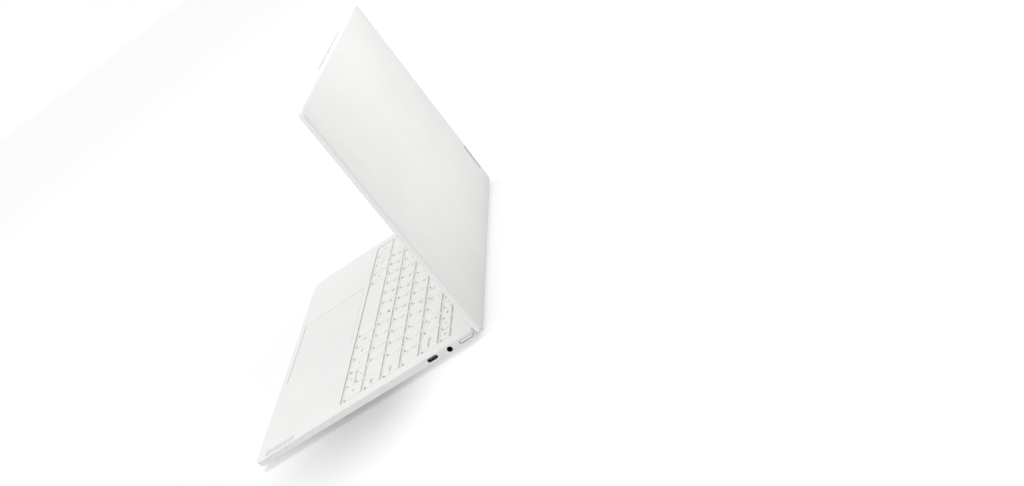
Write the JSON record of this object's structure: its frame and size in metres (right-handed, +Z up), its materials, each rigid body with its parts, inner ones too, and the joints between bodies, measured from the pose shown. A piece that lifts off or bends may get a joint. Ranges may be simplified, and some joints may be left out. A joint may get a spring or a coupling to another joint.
{
  "type": "laptop computer",
  "caption": "Slim white laptop with its lid open upright: pressing keys, clicking touchpad, friction lid hinge, side sockets and spinning cooling fans inside.",
  "frame": {"origin": "on the table plane under the feet, midway across and midway front to rear of the computer with its lid upright", "axes": "+X to the user's right, +Y from the front edge to the hinge, +Z up"},
  "size_m": [0.2958, 0.2092, 0.2092],
  "materials": {
    "white_shell": "matt soft white lacquer on aluminium",
    "key_white": "matt white plastic",
    "pad_white": "fine matt",
    "bezel_black": "gloss black",
    "screen_black": "dark gloss glass",
    "seal_rubber": "matt rubber",
    "lens_glass": "clear gloss",
    "plate_satin": "satin, bare",
    "hinge_steel": "brushed",
    "pin_steel": "polished",
    "plate_metal": "satin sheet",
    "battery_black": "matt wrap",
    "board_green": "solder mask",
    "pipe_copper": "copper",
    "fan_black": "matt",
    "foot_rubber": "matt grey rubber",
    "screw_steel": "satin",
    "port_metal": "satin",
    "jack_black": "gloss",
    "button_white": "satin",
    "light_pipe": "milky"
  },
  "bodies": {
    "base": {"hinge_pin_left": "pin_steel", "hinge_pin_right": "pin_steel", "hinge_bracket_left": "hinge_steel", "hinge_bracket_right": "hinge_steel", "keyboard_deck": "white_shell", "bottom_cover": "white_shell", "keyboard_plate": "plate_metal", "touchpad_frame": "plate_metal", "battery": "battery_black", "mainboard": "board_green", "heat_pipe": "pipe_copper", "fan_housing_left": "fan_black", "fan_housing_right": "fan_black", "solid_state_drive": "board_green", "wireless_card": "board_green", "speaker_left": "battery_black", "speaker_right": "battery_black", "feet": "foot_rubber", "bottom_screws": "screw_steel", "usb_c_socket_right": "port_metal", "usb_c_sockets_left": "port_metal", "audio_jack": "jack_black", "status_light": "light_pipe", "palm_name_plate": "plate_satin"},
    "lid": {"lid_cover": "white_shell", "display_bezel": "bezel_black", "display_panel": "screen_black", "bezel_seal": "seal_rubber", "camera_module": "fan_black", "camera_lens": "lens_glass", "lid_name_plate": "plate_satin", "hinge_leaf_left": "hinge_steel", "hinge_leaf_right": "hinge_steel"},
    "touchpad": {"touchpad": "pad_white"},
    "power_button": {"power_button": "button_white"},
    "fan_rotor_left": {"fan_rotor_left": "fan_black"},
    "fan_rotor_right": {"fan_rotor_right": "fan_black"},
    "keys_function_row": {"keys_function_row": "key_white"},
    "keys_number_row": {"keys_number_row": "key_white"},
    "key_backspace": {"key_backspace": "key_white"},
    "key_tab": {"key_tab": "key_white"},
    "keys_upper_letters": {"keys_upper_letters": "key_white"},
    "key_caps_lock": {"key_caps_lock": "key_white"},
    "keys_home_letters": {"keys_home_letters": "key_white"},
    "key_enter": {"key_enter": "key_white"},
    "key_shift_left": {"key_shift_left": "key_white"},
    "keys_lower_letters": {"keys_lower_letters": "key_white"},
    "key_shift_right": {"key_shift_right": "key_white"},
    "key_control_left": {"key_control_left": "key_white"},
    "key_function": {"key_function": "key_white"},
    "key_bare": {"key_bare": "key_white"},
    "key_alt_left": {"key_alt_left": "key_white"},
    "key_space": {"key_space": "key_white"},
    "key_alt_right": {"key_alt_right": "key_white"},
    "key_control_right": {"key_control_right": "key_white"},
    "key_arrow_left": {"key_arrow_left": "key_white"},
    "key_arrow_up": {"key_arrow_up": "key_white"},
    "key_arrow_down": {"key_arrow_down": "key_white"},
    "key_arrow_right": {"key_arrow_right": "key_white"}
  },
  "joints": [
    {"name": "lid_hinge", "type": "hinge", "parent": "base", "child": "lid", "pos_m": [0, 0.09675, 0.00645], "axis": [-1, 0, 0], "range_deg": [-90, 30]},
    {"name": "touchpad_click", "type": "hinge", "parent": "base", "child": "touchpad", "pos_m": [-0.0097, -0.0296, 0.0081], "axis": [1, 0, 0], "range_deg": [0, 0.41], "stiffness_Nm_per_rad": 9},
    {"name": "power_button_press", "type": "slide", "parent": "base", "child": "power_button", "axis": [-1, 0, 0], "range_m": [0, 0.0004], "stiffness_N_per_m": 1500},
    {"name": "fan_spin_left", "type": "hinge", "parent": "base", "child": "fan_rotor_left", "pos_m": [-0.098, 0.0534, 0.003], "axis": [0, 0, 1], "continuous": true},
    {"name": "fan_spin_right", "type": "hinge", "parent": "base", "child": "fan_rotor_right", "pos_m": [0.098, 0.0534, 0.003], "axis": [0, 0, 1], "continuous": true},
    {"name": "keys_function_row_press", "type": "slide", "parent": "base", "child": "keys_function_row", "axis": [0, 0, -1], "range_m": [0, 0.0012], "stiffness_N_per_m": 500},
    {"name": "keys_number_row_press", "type": "slide", "parent": "base", "child": "keys_number_row", "axis": [0, 0, -1], "range_m": [0, 0.0012], "stiffness_N_per_m": 500},
    {"name": "key_backspace_press", "type": "slide", "parent": "base", "child": "key_backspace", "axis": [0, 0, -1], "range_m": [0, 0.0012], "stiffness_N_per_m": 500},
    {"name": "key_tab_press", "type": "slide", "parent": "base", "child": "key_tab", "axis": [0, 0, -1], "range_m": [0, 0.0012], "stiffness_N_per_m": 500},
    {"name": "keys_upper_letters_press", "type": "slide", "parent": "base", "child": "keys_upper_letters", "axis": [0, 0, -1], "range_m": [0, 0.0012], "stiffness_N_per_m": 500},
    {"name": "key_caps_lock_press", "type": "slide", "parent": "base", "child": "key_caps_lock", "axis": [0, 0, -1], "range_m": [0, 0.0012], "stiffness_N_per_m": 500},
    {"name": "keys_home_letters_press", "type": "slide", "parent": "base", "child": "keys_home_letters", "axis": [0, 0, -1], "range_m": [0, 0.0012], "stiffness_N_per_m": 500},
    {"name": "key_enter_press", "type": "slide", "parent": "base", "child": "key_enter", "axis": [0, 0, -1], "range_m": [0, 0.0012], "stiffness_N_per_m": 500},
    {"name": "key_shift_left_press", "type": "slide", "parent": "base", "child": "key_shift_left", "axis": [0, 0, -1], "range_m": [0, 0.0012], "stiffness_N_per_m": 500},
    {"name": "keys_lower_letters_press", "type": "slide", "parent": "base", "child": "keys_lower_letters", "axis": [0, 0, -1], "range_m": [0, 0.0012], "stiffness_N_per_m": 500},
    {"name": "key_shift_right_press", "type": "slide", "parent": "base", "child": "key_shift_right", "axis": [0, 0, -1], "range_m": [0, 0.0012], "stiffness_N_per_m": 500},
    {"name": "key_control_left_press", "type": "slide", "parent": "base", "child": "key_control_left", "axis": [0, 0, -1], "range_m": [0, 0.0012], "stiffness_N_per_m": 500},
    {"name": "key_function_press", "type": "slide", "parent": "base", "child": "key_function", "axis": [0, 0, -1], "range_m": [0, 0.0012], "stiffness_N_per_m": 500},
    {"name": "key_bare_press", "type": "slide", "parent": "base", "child": "key_bare", "axis": [0, 0, -1], "range_m": [0, 0.0012], "stiffness_N_per_m": 500},
    {"name": "key_alt_left_press", "type": "slide", "parent": "base", "child": "key_alt_left", "axis": [0, 0, -1], "range_m": [0, 0.0012], "stiffness_N_per_m": 500},
    {"name": "key_space_press", "type": "slide", "parent": "base", "child": "key_space", "axis": [0, 0, -1], "range_m": [0, 0.0012], "stiffness_N_per_m": 500},
    {"name": "key_alt_right_press", "type": "slide", "parent": "base", "child": "key_alt_right", "axis": [0, 0, -1], "range_m": [0, 0.0012], "stiffness_N_per_m": 500},
    {"name": "key_control_right_press", "type": "slide", "parent": "base", "child": "key_control_right", "axis": [0, 0, -1], "range_m": [0, 0.0012], "stiffness_N_per_m": 500},
    {"name": "key_arrow_left_press", "type": "slide", "parent": "base", "child": "key_arrow_left", "axis": [0, 0, -1], "range_m": [0, 0.0012], "stiffness_N_per_m": 500},
    {"name": "key_arrow_up_press", "type": "slide", "parent": "base", "child": "key_arrow_up", "axis": [0, 0, -1], "range_m": [0, 0.0012], "stiffness_N_per_m": 500},
    {"name": "key_arrow_down_press", "type": "slide", "parent": "base", "child": "key_arrow_down", "axis": [0, 0, -1], "range_m": [0, 0.0012], "stiffness_N_per_m": 500},
    {"name": "key_arrow_right_press", "type": "slide", "parent": "base", "child": "key_arrow_right", "axis": [0, 0, -1], "range_m": [0, 0.0012], "stiffness_N_per_m": 500}
  ]
}
